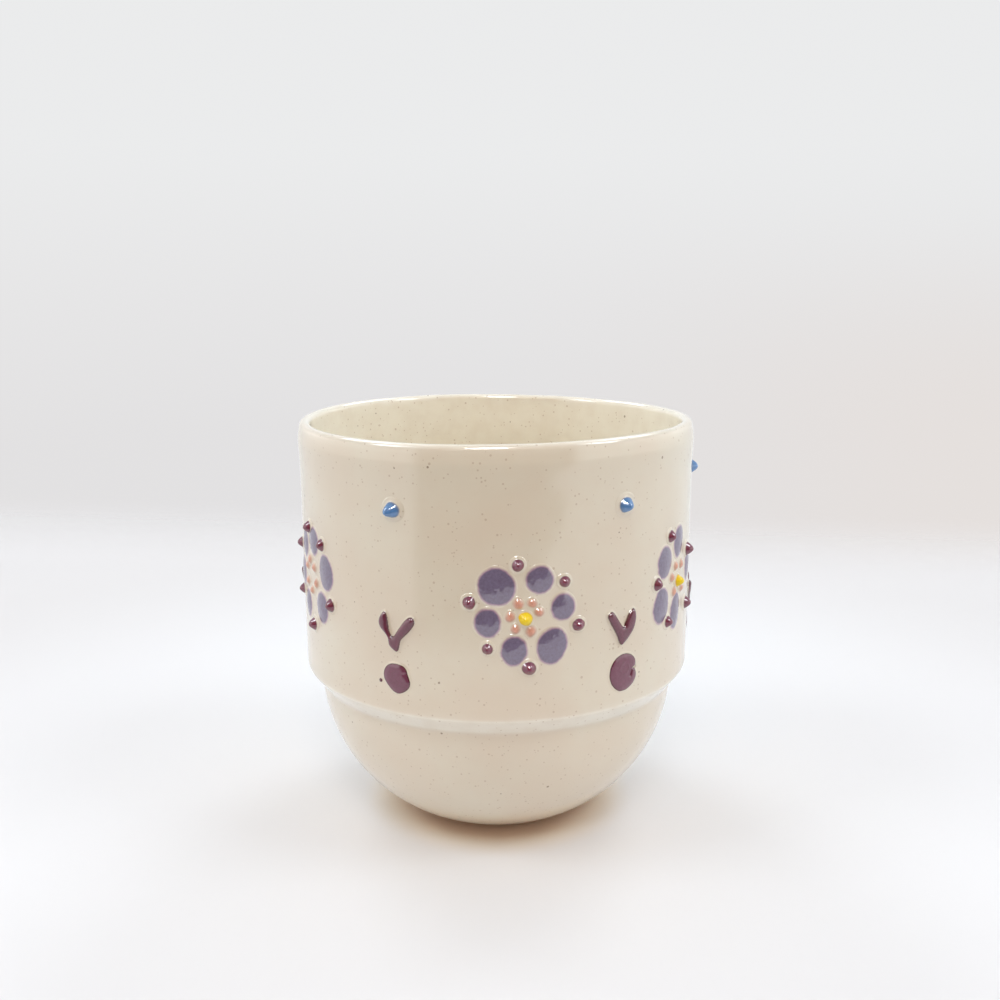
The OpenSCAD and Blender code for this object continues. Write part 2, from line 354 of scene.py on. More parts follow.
material, tree = new_tree("white_card")
position = add_node(tree, "ShaderNodeNewGeometry").outputs["Position"]
kept = 1.0
for turn, reach, width in CARD_EDGES:
    kept = arithmetic(tree, "MULTIPLY", card_edge(tree, position, turn, reach, width), kept)
length = add_node(tree, "ShaderNodeVectorMath", operation="LENGTH")
plug(tree, position, length.inputs[0])
away = length.outputs["Value"]
# The card's colour paints a warm shadow near the mug and darker shade far away.
white = blend_colours(tree, fade(tree, away, *(v * MM for v in PAINTED_SHADOW_TO_WHITE)), CARD_PAINTED_WARM_SHADOW, CARD_WHITE)
white = blend_colours(tree, fade(tree, away, *(v * MM for v in WHITE_TO_PAINTED_SHADE)), white, CARD_PAINTED_FAR_SHADE)
shader = add_node(tree, "ShaderNodeBsdfPrincipled")
plug(tree, white, shader.inputs["Base Color"])
shader.inputs["Roughness"].default_value = CARD_ROUGHNESS
shader.inputs["Specular IOR Level"].default_value = CARD_SPECULAR
plug(tree, kept, shader.inputs["Alpha"])
plug(tree, shader.outputs[0], add_node(tree, "ShaderNodeOutputMaterial").inputs["Surface"])
card_mesh.materials.append(material)
print(f"the card fades out at {len(CARD_EDGES)} edges")


# %% The lamps
FILL_LIGHT = (1, 0.6, 0.35)
BULB_LIGHT = (1, 0.72, 0.42)
WINDOW_LIGHT = (0.95, 0.98, 1)


def soft_lamp(name, place, aim, size, power, colour, mirrored=True, lights=True):
    """A round lamp at place that shines at aim. It lights, or the glaze mirrors it, or both."""
    data = bpy.data.lights.new(name, "AREA")
    data.shape = "DISK"
    data.size = size * MM
    data.energy = power
    data.color = colour
    lamp = bpy.data.objects.new(name, data)
    lamp.location = Vector(place) * MM
    lamp.rotation_euler = (Vector(aim) - Vector(place)).to_track_quat("-Z", "Y").to_euler()
    lamp.visible_camera = False
    lamp.visible_glossy = mirrored
    lamp.visible_diffuse = lights
    bpy.context.scene.collection.objects.link(lamp)
    print(f"{name}: {power} W")


soft_lamp("front_fill", (0, -600, 420), (0, 0, 40), 500, 0.3, FILL_LIGHT, mirrored=False)
for name, x in (("warm_bulb_left", -60), ("warm_bulb_right", -10)):
    soft_lamp(name, (x, -150, 330), (0, 0, 60), 14, 0.02, BULB_LIGHT)
soft_lamp("window_front", (-30, -330, 430), (0, 0, 45), 170, 1.3, WINDOW_LIGHT, lights=False)
for name, x in (("window_left", -420), ("window_right", 420)):
    soft_lamp(name, (x, -150, 400), (0, 0, 45), 150, 0.4, WINDOW_LIGHT, lights=False)

# %% [markdown]
# ## The turned body
#
# The clay body is a turned form, so one section of it says everything. The section is read back
# from the solid: its vertices lie on the circles where one face of the turning meets the next.
# Walking along the edges between those circles gives the outline from the foot up the outside,
# over the lip and down the inside. A real glaze softens every edge a little, so the outline is
# smoothed by less than half a millimetre and then spun into a fine, even mesh.

# %% Read the section
def section_of(node):
    """The outline of a turned solid as (radius, height) rows, from its foot's middle to its floor's."""
    points = points_of(node)
    rings = np.round(np.column_stack([radius_of(points), points[:, 2]]), 3)
    circles, ring_of = np.unique(rings, axis=0, return_inverse=True)
    ring_of = ring_of.ravel()
    neighbours = {}
    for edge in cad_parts[node].data.edges:
        a, b = (ring_of[v] for v in edge.vertices)
        if a != b:
            neighbours.setdefault(a, set()).add(b)
            neighbours.setdefault(b, set()).add(a)
    start = int(np.argmin(circles[:, 0] + circles[:, 1]))
    walk, at = [start], start
    while True:
        ahead = [n for n in neighbours[at] if n not in walk]
        if not ahead:
            break
        at = min(ahead, key=lambda n: np.hypot(*(circles[n] - circles[at])))
        walk.append(at)
    return circles[walk]


section = section_of("mug_body")
section = np.vstack([[0, section[0][1]], section, [0, section[-1][1]]])
print(f"the section has {len(section)} points and is {section[:, 1].max():.1f} mm high")

# %% Soften the section as glaze does, and choose the rows of the mesh
FINE_STEP = 0.1
GLAZE_SOFTENING = 0.35
ROW_LENGTH = 1.5
ROW_BEND = math.radians(7)


def along(line):
    """The distance of each point of a line from its start."""
    return np.concatenate([[0], np.cumsum(np.hypot(*np.diff(line, axis=0).T))])


def evenly(line, step):
    """The line again, with points a step apart."""
    far = along(line)
    places = np.linspace(0, far[-1], int(far[-1] / step))
    return np.column_stack([np.interp(places, far, line[:, k]) for k in (0, 1)])


def softened(line, width):
    """The line smoothed over a width, with its ends held."""
    reach = int(3 * width / FINE_STEP)
    weights = np.exp(-0.5 * (np.arange(-reach, reach + 1) * FINE_STEP / width) ** 2)
    weights /= weights.sum()
    padded = np.vstack([2 * line[0] - line[reach:0:-1], line, 2 * line[-1] - line[-2:-reach - 2:-1]])
    return np.column_stack([np.convolve(padded[:, k], weights, "valid") for k in (0, 1)])


outline = softened(evenly(section, FINE_STEP), GLAZE_SOFTENING)
way = np.diff(outline, axis=0)
bend = np.abs(np.diff(np.unwrap(np.arctan2(way[:, 1], way[:, 0]))))
effort = np.concatenate([[0], np.cumsum(FINE_STEP / ROW_LENGTH + np.append(bend, 0) / ROW_BEND)])
picks = np.interp(np.arange(0, effort[-1]), effort, np.arange(len(outline)))
rows = outline[np.append(np.round(picks).astype(int), len(outline) - 1)]
rows[0, 0] = rows[-1, 0] = 0
print(f"{len(rows)} rows carry the section")

# %% The fired shape
# The rim dips a little at two sides, above WARP_FROM, and the lip wavers, above LIP_FROM.
WARP = 0.25
WARP_TURN = math.radians(42)
WARP_FROM = 55
LIP_FROM = 84
LIP_WAVE = 0.05
LIP_WAVER = 0.5


def smooth_step(x, low, high):
    t = np.clip((x - low) / (high - low), 0, 1)
    return t * t * (3 - 2 * t)


def waves(turn, counts, seed):
    """A hand-made unevenness round the mug: a few waves with their own starts."""
    starts = np.random.default_rng(seed).uniform(0, 2 * math.pi, len(counts))
    return sum(np.sin(n * turn + start) / (1 + k) for k, (n, start) in enumerate(zip(counts, starts)))


def warped(r, turn, z):
    """Radius and height of points of the turned form after firing."""
    top = section[:, 1].max()
    dip = WARP * (1 - np.cos(2 * (turn - WARP_TURN))) * smooth_step(z, WARP_FROM, top)
    lip = smooth_step(z, LIP_FROM, top)
    r = r - LIP_WAVE * lip * (1 + LIP_WAVER * waves(turn, (11, 17, 29), 3))
    z = z - dip - LIP_WAVE * lip * (1 + LIP_WAVER * waves(turn, (9, 14, 23), 5))
    return r, z


print(f"the rim dips by {2 * WARP:.1f} mm at most")

# %% Spin the section into the body
SIDES = 300


def mesh_piece(name, points, faces, node):
    """A new mesh object that stands for a CAD node: it rides on the root, and the node is hidden."""
    mesh = bpy.data.meshes.new(name)
    mesh.from_pydata(points, [], faces)
    mesh.polygons.foreach_set("use_smooth", [True] * len(mesh.polygons))
    piece = bpy.data.objects.new(name, mesh)
    bpy.context.scene.collection.objects.link(piece)
    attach(piece, "root")
    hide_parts(node)
    return piece


def spin(profile, sides):
    """Points and faces of a profile from axis to axis, spun round the Z axis."""
    turns = np.arange(sides) * 2 * math.pi / sides
    inner = profile[1:-1]
    r, turn = np.meshgrid(inner[:, 0], turns, indexing="ij")
    z = np.repeat(inner[:, 1:], sides, axis=1)
    r, z = warped(r, turn, z)
    ring = np.stack([r * np.sin(turn), -r * np.cos(turn), z], axis=-1).reshape(-1, 3) * MM
    points = np.vstack([ring, [[0, 0, profile[0, 1] * MM], [0, 0, profile[-1, 1] * MM]]])
    foot, floor = len(points) - 2, len(points) - 1
    last = (len(inner) - 1) * sides
    faces = []
    for k in range(sides):
        n = (k + 1) % sides
        faces.append((foot, n, k))
        faces.append((floor, last + k, last + n))
        for row in range(0, last, sides):
            faces.append((row + k, row + n, row + sides + n, row + sides + k))
    return points, faces


body = mesh_piece("clay_body", *spin(rows, SIDES), "mug_body")
print(f"the body has {len(body.data.polygons)} faces")

# %% Mark on the body where it is inside or bare, where its lip is pale, and where light is painted on the lip and the step
BARE_BELOW = 3.0
BARE_BLUR = 0.3
LIP_PALE_AND_HIGHLIGHT_REACH = 2.2
LIP_SHARE = 0.28
STEP_FROM = 31.0
STEP_FADE_IN = 1.2
STEP_FADE_OUT = 0.8
STEP_BELOW = 50
STEP_ROUNDING = 0.12
STEP_PAINTED_LIGHT_SHARE = 0.75
HIGHLIGHT_LINE_WIDTH = 0.55

row_up = rows[:, 1]
lip_row = np.argmax(row_up)
row_inside = smooth_step(np.arange(len(rows)), lip_row - 2, lip_row + 3)
row_outside = row_inside < 0.5
row_bare = (1 - smooth_step(row_up, BARE_BELOW - BARE_BLUR, BARE_BELOW + BARE_BLUR)) * row_outside

from_lip = np.hypot(rows[:, 0] - rows[lip_row, 0], row_up - row_up[lip_row])
# The lip's glaze is paler, and a painted highlight lies on it too.
row_lip_pale_and_highlight = LIP_SHARE * (1 - smooth_step(from_lip, 0.5 * LIP_PALE_AND_HIGHLIGHT_REACH, LIP_PALE_AND_HIGHLIGHT_REACH))

outer_r = np.where(row_outside, rows[:, 0], 0)
widest = outer_r[row_up < STEP_BELOW].max()
step_top = row_up[np.argmax(outer_r > widest - STEP_ROUNDING)]
# The step's sloping face is painted lighter for the light it catches, and a painted highlight line runs
# along its upper edge.
row_step_painted_light = smooth_step(row_up, STEP_FROM, STEP_FROM + STEP_FADE_IN)
row_step_painted_light = row_step_painted_light * (1 - smooth_step(row_up, step_top, step_top + STEP_FADE_OUT))
row_painted_highlight_line = np.clip(1 - np.abs(row_up - step_top) / HIGHLIGHT_LINE_WIDTH, 0, 1)
row_pale_and_painted_light = np.maximum(row_lip_pale_and_highlight, np.maximum(STEP_PAINTED_LIGHT_SHARE * row_step_painted_light, row_painted_highlight_line) * row_outside)

for name, values in (("inside", row_inside), ("bare_clay", row_bare), ("edge", row_pale_and_painted_light)):
    spread = np.append(np.repeat(values[1:-1], SIDES), [values[0], values[-1]])
    body.data.attributes.new(name, "FLOAT", "POINT").data.foreach_set("value", spread)
print(f"the step's edge is {step_top:.1f} mm up")

# %% [markdown]
# ## Drops of slip
#
# Every round mark is a drop that was trailed onto the wall and covered with clear glaze. Seen from
# above it is a lopsided oval. In section it is a dome or a peaked bell, and its glaze runs out over
# the wall in a narrow, shallow skirt. So a drop is a fan of rings: rings from its middle to its
# edge, and more rings from the edge to the end of the skirt, which dips just under the wall's
# face. Each vertex remembers its distance from the slip's edge, and the finish uses that to let
# the slip's colour bleed into the cream.

# %% The skirt of glaze
# Past the slip's edge the glaze falls off as a fillet, lies level as a pool over most of its
# reach, and then dips under the wall's face.
SKIRT_RINGS = (0.08, 0.18, 0.3, 0.45, 0.6, 0.7, 0.8, 0.9, 1.0)
SKIRT_LEVEL = 0.62
SUNK = 0.03
FILLET_REACH = 0.22


def skirt_height(d, reach, fillet, pool):
    """How proud the glaze stands at a distance d from the slip's edge."""
    level = 1 - smooth_step(d, SKIRT_LEVEL * reach, reach)
    left_over = fillet * math.exp(-reach / FILLET_REACH) * d / reach
    return fillet * np.exp(-d / FILLET_REACH) + (pool + SUNK) * level - SUNK - left_over


print(f"a skirt has {len(SKIRT_RINGS)} rings")

# %% Where a mark was really laid
# A few marks lie a little beside their solids. An entry has the turns in degrees between which
# its marks lie, and how far they were laid from their solids, across and up, in millimetres.
NUDGES = {"v_marks": ((-40, -15, (-0.45, 0.0)), (25, 45, (0.12, -0.33)), (80, 95, (-1.1, -2.4))),
          "maroon_discs": ((-40, -15, (-0.45, 0.0)), (25, 45, (0.12, -0.33)), (80, 95, (0.8, 0.0))),
          "outer_beads": ((71, 85, (-1.8, -1.0)),),
          "yellow_centres": ((55, 68, (-0.35, -0.2)),),
          "blue_beads": ((-100, -85, (-3.0, 0.0)), (260, 275, (-3.0, 0.0)))}


def turn_of(mark):
    return math.degrees(mark[:, 0].mean() / wall_r)


def nudge(node, mark):
    """How far a mark was laid from its solid, across and up the wall."""
    turn = turn_of(mark)
    return np.array(next((shift for low, high, shift in NUDGES.get(node, ()) if low < turn < high), (0, 0)))


print(f"{sum(len(entries) for entries in NUDGES.values())} entries move marks")


# %% Gather many marks into one piece
class Heap:
    """Gathers the points, faces and edge distances of many marks into one piece."""

    def __init__(self):
        self.points, self.faces, self.edges = [], [], []
        self.count = 0

    def add(self, points, faces, edges):
        self.faces += [tuple(self.count + i for i in face) for face in faces]
        self.points.append(points)
        self.edges.append(edges)
        self.count += len(points)

    def piece(self, name, node):
        made = mesh_piece(name, np.vstack(self.points), self.faces, node)
        attribute = made.data.attributes.new("slip_edge", "FLOAT", "POINT")
        attribute.data.foreach_set("value", np.concatenate(self.edges))
        return made


def fan_faces(rings, spokes):
    """Faces of a fan: a middle point, then rings of spokes points each."""
    faces = [(0, 1 + (k + 1) % spokes, 1 + k) for k in range(spokes)]
    for row in range(rings - 1):
        a, b = 1 + row * spokes, 1 + (row + 1) * spokes
        for k in range(spokes):
            n = (k + 1) % spokes
            faces.append((a + k, a + n, b + n, b + k))
    return faces


# %% Measure a mark
# A dome that is trimmed to a round wall comes out wider than on a flat one, because the wall
# falls away beside it. Its true width is found by going back and forth a few times.
WALL_GAIN = 1.2
WIDTH_ROUNDS = 8
LEAN_STEP = 3
LEAN_TIE = 0.01


def true_width(wide, rise):
    """The width of a dome on a flat face, from the width that it has on the curved wall."""
    gain = WALL_GAIN / (16 * wall_r * rise)
    real = wide
    for _ in range(WIDTH_ROUNDS):
        real = wide / (1 + gain * real ** 2)
    return real


def measure(mark):
    """Middle, half sizes and lean of a mark, from its extent along turned axes."""
    flat = mark[:, :2].copy()
    wide, middle = np.ptp(flat[:, 0]), (flat[:, 0].max() + flat[:, 0].min()) / 2
    flat[:, 0] = middle + (flat[:, 0] - middle) * true_width(wide, mark[:, 2].max()) / wide
    best = None
    for lean in np.radians(np.arange(0, 180, LEAN_STEP)):
        axis = np.array([math.cos(lean), math.sin(lean)])
        across = np.array([-axis[1], axis[0]])
        a, b = flat @ axis, flat @ across
        if best is None or np.ptp(a) > 2 * best[1] + LEAN_TIE:
            middle = axis * (a.max() + a.min()) / 2 + across * (b.max() + b.min()) / 2
            best = (middle, np.ptp(a) / 2, np.ptp(b) / 2, lean)
    return best


for node in ("petals", "blue_beads"):
    widths = [2 * measure(mark)[1] for mark in marks[node]]
    print(f"{node}: {min(widths):.1f} to {max(widths):.1f} mm long")

# %% Lay one drop on the wall
CAD_SHARE = 0.93
DROP_RINGS = (0.08, 0.17, 0.28, 0.4, 0.52, 0.64, 0.75, 0.85, 0.93, 0.98, 1.0)
OVAL_WAVES = (2, 3, 5)
SUMMIT_DEPTH = 0.05


def drop(heap, mark, peak, spokes=40, uneven=0.03, reach=0.6, fillet=0.06, pool=0.03, seed=0,
         wider=1.0, share=CAD_SHARE, rise=None):
    """Lays a drop on the place of a mark. peak sharpens its section: 1 is a dome, 2 a bell."""
    middle, half_a, half_b, lean = measure(mark)
    top = share * mark[:, 2].max() if rise is None else rise
    summit = mark[mark[:, 2] > mark[:, 2].max() - SUMMIT_DEPTH, :2].mean(axis=0) - middle
    phi = np.arange(spokes) * 2 * math.pi / spokes
    size = 1 / np.hypot(np.cos(phi - lean) / half_a, np.sin(phi - lean) / half_b)
    size = wider * size * (1 + uneven * waves(phi, OVAL_WAVES, seed))
    shape = np.stack([np.cos(phi), np.sin(phi)], axis=-1)
    edge_height = skirt_height(0.0, reach, fillet, pool)
    flat = [middle[None] + summit]
    height = [np.array([top])]
    edge = [np.array([-size.mean()])]
    for out in DROP_RINGS:
        flat.append(middle + shape * (size * out)[:, None] + summit * (1 - out ** 2))
        height.append(np.full(spokes, edge_height + (top - edge_height) * (1 - out ** 2) ** peak))
        edge.append(size * (out - 1))
    for out in SKIRT_RINGS:
        d = out * reach
        flat.append(middle + shape * (size + d)[:, None])
        height.append(np.full(spokes, skirt_height(d, reach, fillet, pool)))
        edge.append(np.full(spokes, d))
    flat, height, edge = np.vstack(flat), np.concatenate(height), np.concatenate(edge)
    heap.add(from_wall(flat[:, 0], flat[:, 1], height),
             fan_faces(len(DROP_RINGS) + len(SKIRT_RINGS), spokes), edge)


print(f"a drop has {len(DROP_RINGS)} rings inside its edge")

# %% Petals, florets and beads
KINDS = {
    "petals": dict(peak=1.0, spokes=48, uneven=0.025, reach=0.45, fillet=0.06, pool=0.04),
    "florets": dict(peak=1.1, share=1.5, wider=1.16,
                    spokes=24, uneven=0.05, reach=0.4, fillet=0.06, pool=0.05),
    "outer_beads": dict(peak=1.15, share=0.80,
                        spokes=32, uneven=0.035, reach=0.62, fillet=0.14, pool=0.10),
    "yellow_centres": dict(peak=1.1, wider=1.07,
                           spokes=28, uneven=0.05, reach=0.5, fillet=0.12, pool=0.07),
    "blue_beads": dict(peak=1.15, share=0.88,
                       spokes=36, uneven=0.04, reach=1.1, fillet=0.14, pool=0.10),
}
PIECE_NAMES = {"petals": "petal_slip", "florets": "floret_slip", "outer_beads": "bead_slip",
               "yellow_centres": "yellow_slip", "blue_beads": "blue_slip",
               "maroon_discs": "disc_slip", "v_marks": "vee_slip"}

pieces = {}
for node, look in KINDS.items():
    heap = Heap()
    for seed, mark in enumerate(marks[node]):
        drop(heap, mark + [*nudge(node, mark), 0], seed=seed, **look)
    pieces[node] = heap.piece(PIECE_NAMES[node], node)
    lowest = min(mark[:, 2].max() for mark in marks[node])
    print(f"{node}: {len(pieces[node].data.polygons)} faces, and the lowest solid is {lowest:.2f} mm high")

# %% [markdown]
# ## The V marks and the discs
#
# A V mark is two trailed strokes that ran together, and a disc is a pool of slip that was pressed
# flat. Neither is an oval, so each is drawn by its outline: a closed curve through points, in
# millimetres from the V's tip or the disc's middle. The points were picked by eye on the picture,
# and another program turned them into millimetres on the wall with the fitted camera. A fine grid
# over the mark takes its height from one thing only, how far a point lies inside the outline.
# That rounds the edges, and it makes the slip highest where the two strokes meet, as it is on the
# real mug.

# %% The outlines, from picked points
VEE_LEFT = ((-1.77, 7.67), (-2.39, 7.06), (-2.86, 6.17), (-2.97, 5.36), (-2.69, 4.56), (-2.11, 3.92),
            (-1.47, 3.32), (-0.98, 2.65), (-0.84, 1.96), (-0.69, 1.27), (-0.21, 0.69), (0.5, 0.22),
            (0.94, 0.05), (1.35, 0.4), (1.57, 1.01), (1.74, 1.89), (2.06, 2.65), (2.77, 3.39),
            (3.65, 4.29), (4.4, 5.2), (4.8, 5.98), (4.89, 6.66), (4.63, 7.15), (4.07, 7.29),
            (3.4, 6.99), (2.72, 6.34), (2.1, 5.55), (1.48, 4.68), (0.92, 3.86), (0.44, 3.16),
            (0.0, 3.09), (-0.31, 3.48), (-0.63, 4.21), (-0.8, 5.17), (-0.9, 6.22), (-1.1, 7.1),
            (-1.37, 7.55))
VEE_RIGHT = ((-3.08, 7.59), (-3.61, 7.37), (-3.98, 6.87), (-3.86, 6.27), (-3.48, 5.48), (-2.91, 4.49),
             (-2.24, 3.37), (-1.75, 2.42), (-1.35, 1.54), (-1.02, 0.81), (-0.55, 0.49), (0.02, 0.8),
             (0.79, 1.4), (1.56, 2.17), (2.25, 2.96), (2.69, 3.82), (2.95, 4.7), (3.08, 5.61),
             (2.98, 6.44), (2.7, 7.09), (2.22, 7.34), (1.61, 7.03), (1.04, 6.37), (0.55, 5.54),
             (0.17, 4.81), (0.01, 4.33), (-0.33, 4.16), (-0.85, 4.84), (-1.56, 5.91), (-2.15, 6.81),
             (-2.6, 7.35))
DISC_LEFT = ((-0.31, 3.03), (0.64, 3.12), (1.72, 3.02), (2.48, 2.69), (2.99, 2.08), (3.2, 1.25),
             (3.49, 0.44), (3.7, -0.39), (3.46, -1.3), (2.84, -2.05), (2.07, -2.54), (1.14, -2.85),
             (0.2, -2.66), (-0.59, -2.09), (-1.38, -1.3), (-1.99, -0.4), (-2.17, 0.43), (-2.04, 1.33),
             (-1.63, 2.13), (-1.05, 2.68))
DISC_RIGHT = ((1.1, 3.93), (2.14, 3.54), (2.96, 2.85), (3.41, 2.0), (3.47, 1.11), (3.32, 0.43),
              (3.62, -0.44), (3.67, -1.1), (3.42, -1.86), (2.8, -2.57), (1.98, -3.08), (1.07, -3.45),
              (0.18, -3.55), (-0.8, -3.43), (-1.77, -2.82), (-2.64, -1.84), (-3.09, -0.8), (-3.27, 0.18),
              (-3.17, 1.26), (-2.85, 2.13), (-2.33, 2.89), (-1.6, 3.52), (-0.67, 3.95), (0.2, 4.05))


def closed_curve(corners, steps=5):
    """A smooth closed curve through the corners."""
    p = np.array(corners)
    before, after, beyond = np.roll(p, 1, 0), np.roll(p, -1, 0), np.roll(p, -2, 0)
    slope = after - before
    bow = 2 * before - 5 * p + 4 * after - beyond
    twist = 3 * p - before - 3 * after + beyond
    sides = [0.5 * (2 * p + slope * t + bow * t ** 2 + twist * t ** 3) for t in np.arange(steps) / steps]
    return np.stack(sides, axis=1).reshape(-1, 2)


def outline_distance(points, curve):
    """Distance of points from a closed curve. Inside is negative."""
    a, b = curve, np.roll(curve, -1, 0)
    way = b - a
    off = points[:, None] - a
    t = np.clip((off * way).sum(axis=2) / (way * way).sum(axis=1), 0, 1)
    gap = np.sqrt(((off - t[..., None] * way) ** 2).sum(axis=2)).min(axis=1)
    spans = (a[:, 1] > points[:, 1:]) != (b[:, 1] > points[:, 1:])
    rise = np.where(way[:, 1] == 0, 1e-9, way[:, 1])
    left = points[:, :1] < a[:, 0] + (points[:, 1:] - a[:, 1]) * way[:, 0] / rise
    inside = (spans & left).sum(axis=1) % 2 == 1
    return np.where(inside, -gap, gap)


def mirrored(corners):
    return tuple((-x, y) for x, y in reversed(corners))


for name, corners in (("left V", VEE_LEFT), ("right V", VEE_RIGHT)):
    print(f"the {name} mark is {np.ptp(closed_curve(corners)[:, 1]):.1f} mm high")

# %% Lay a mark by its outline
GRID = 0.11
OUTLINE_REACH = 0.5
DENT_REACH = 0.1


def laid(heap, place, corners, rise, shoulder, round_power=0.5, fillet=0.1, pool=0.04, dent=None):
    """Lays slip inside an outline. It climbs to its rise over the shoulder's width, round or soft."""
    curve = closed_curve(corners)
    low, high = curve.min(axis=0) - OUTLINE_REACH - GRID, curve.max(axis=0) + OUTLINE_REACH + GRID
    across = np.arange(low[0], high[0] + GRID, GRID)
    up = np.arange(low[1], high[1] + GRID, GRID)
    points = np.stack(np.meshgrid(across, up, indexing="ij"), axis=-1).reshape(-1, 2)
    d = outline_distance(points, curve)
    edge_height = skirt_height(0.0, OUTLINE_REACH, fillet, pool)
    climb = (1 - (1 - np.clip(-d / shoulder, 0, 1)) ** 2) ** round_power
    skirt = skirt_height(np.clip(d, 0, OUTLINE_REACH), OUTLINE_REACH, fillet, pool)
    height = np.where(d < 0, edge_height + (rise - edge_height) * climb, skirt)
    if dent is not None:
        height = height + dent(points) * (d < DENT_REACH)
    keep = d < OUTLINE_REACH + GRID
    number = np.cumsum(keep) - 1
    wide = len(up)
    corner = np.arange(len(points)).reshape(len(across), wide)[:-1, :-1].ravel()
    cells = np.column_stack([corner, corner + wide, corner + wide + 1, corner + 1])
    faces = number[cells[keep[cells].all(axis=1)]].tolist()
    flat = points[keep] + place
    heap.add(from_wall(flat[:, 0], flat[:, 1], height[keep]), [tuple(face) for face in faces], d[keep])


print(f"the grid over a mark has a step of {GRID} mm")

# %% The V marks
VEE_RISE = 0.85
VEE_SHOULDER = 0.95
VEE_OUTLINES = (mirrored(VEE_RIGHT), VEE_LEFT, VEE_LEFT, VEE_RIGHT, mirrored(VEE_LEFT), VEE_RIGHT)

heap = Heap()
for mark, corners in zip(marks["v_marks"], VEE_OUTLINES):
    tip = mark[np.argmin(mark[:, 1]), :2] + nudge("v_marks", mark)
    laid(heap, tip, corners, VEE_RISE, VEE_SHOULDER)
    print(f"V mark at {turn_of(mark):.0f} degrees")
pieces["v_marks"] = heap.piece(PIECE_NAMES["v_marks"], "v_marks")

# %% The discs
# One disc has a splash beside it. Another has a nick and the ring of a burst bubble. Their
# places are in millimetres from the disc's middle.
DISC_RISE = 0.40
DISC_SHOULDER = 1.25
DISC_ROUND = 1.0
DISC_CROWN = 0.05
DISC_R = 3
DISC_TOP = 0.03
NICK_PATH = (np.array([3.6, 0.75]), np.array([2.45, 0.55]), np.array([1.85, -0.75]))
NICK_DEPTH, NICK_WIDTH = 0.34, 0.24
RING_MIDDLE, RING_R = np.array([0.21, 1.17]), 1.12
RING_RISE, RING_WIDTH = 0.045, 0.16
SPLASH_PLACE, SPLASH_R, SPLASH_RISE = np.array([-3.0, -0.9]), 0.27, 0.2
NICKED_TURNS = (30, 40)
SPLASHED_TURNS = (-35, -20)
DISC_OUTLINES = (mirrored(DISC_RIGHT), DISC_RIGHT, DISC_LEFT, DISC_RIGHT, mirrored(DISC_LEFT), DISC_LEFT)


def crowned(points):
    """The slight crown of a disc."""
    return DISC_CROWN * (1 - (points ** 2).sum(axis=1) / DISC_R ** 2)


def path_gap(points, path):
    """Distance of points from an open path."""
    nearest = np.full(len(points), np.inf)
    for a, b in zip(path, path[1:]):
        t = np.clip(((points - a) @ (b - a)) / ((b - a) @ (b - a)), 0, 1)
        nearest = np.minimum(nearest, np.hypot(*(points - a - t[:, None] * (b - a)).T))
    return nearest


def nicked(points):
    """The marred disc: a nick from its edge, and the low ring of a bubble that burst."""
    nick = np.exp(-(path_gap(points, NICK_PATH) / NICK_WIDTH) ** 2)
    ring = np.exp(-((np.hypot(*(points - RING_MIDDLE).T) - RING_R) / RING_WIDTH) ** 2)
    return crowned(points) - NICK_DEPTH * nick + RING_RISE * ring


heap = Heap()
for mark, corners in zip(marks["maroon_discs"], DISC_OUTLINES):
    flat_top = mark[mark[:, 2] > mark[:, 2].max() - DISC_TOP, :2]
    middle = flat_top.mean(axis=0) + nudge("maroon_discs", mark)
    marred = NICKED_TURNS[0] < turn_of(mark) < NICKED_TURNS[1]
    laid(heap, middle, corners, DISC_RISE, DISC_SHOULDER, DISC_ROUND, dent=nicked if marred else crowned)
    if SPLASHED_TURNS[0] < turn_of(mark) < SPLASHED_TURNS[1]:
        spot = np.array([[x, y, 1] for x in (-SPLASH_R, SPLASH_R) for y in (-SPLASH_R, SPLASH_R)])
        spot[:, :2] += middle + SPLASH_PLACE
        drop(heap, spot, 0.9, spokes=16, reach=0.35, fillet=0.04, pool=0.02, rise=SPLASH_RISE)
pieces["maroon_discs"] = heap.piece(PIECE_NAMES["maroon_discs"], "maroon_discs")
for node in ("v_marks", "maroon_discs"):
    print(f"{node}: {len(pieces[node].data.polygons)} faces")

# %% [markdown]
# ## The cream glaze
#
# The glaze is cream with a faint pink blush, and iron in the clay has come through it as specks,
# a few of them dark and many of them faint. The specks are the points of three lattices of random
# points in space: where the surface passes close to a point, it shows as a speck, and how close
# it passes gives the speck its size. The same group dresses the body and the skirts of the marks,
# so no seam shows between them.

# %% The colours of the glaze and its specks
CREAM = (0.735, 0.675, 0.550)
PINK_CREAM = (0.720, 0.630, 0.505)
# Painted light: the inside is lighter and yellower, standing in for light bounced inside the mug.
INNER_CREAM_PAINTED_LIGHT = (0.865, 0.822, 0.700)
# The lip's paler glaze with a painted highlight, and the step's painted light and highlight line.
PALE_GLAZE_AND_PAINTED_LIGHT = (0.89, 0.855, 0.755)
BARE_CLAY = (0.52, 0.27, 0.13)
DARK_SPECK = (0.19, 0.115, 0.060)
FAINT_SPECK = (0.40, 0.27, 0.165)
# A lattice has its spacing and its specks' largest radius in millimetres, the share of its cells
# that hold a speck, and how strong and what colour the specks are.
SPECKS = ((0.9, 0.24, 0.65, 0.42, FAINT_SPECK), (1.7, 0.30, 0.6, 0.43, FAINT_SPECK),
          (3.1, 0.33, 0.6, 0.68, DARK_SPECK))
SPECK_BLUR = 0.2
BLUSH_SIZE, CLOUD_SIZE = 22, 3.5
# Long waves and the finer unevenness in the glaze's surface: size in millimetres, height in metres.
SWELL = (9, 0.00006)
PEEL = (1.6, 0.000004)
print(f"{len(SPECKS)} lattices of specks")


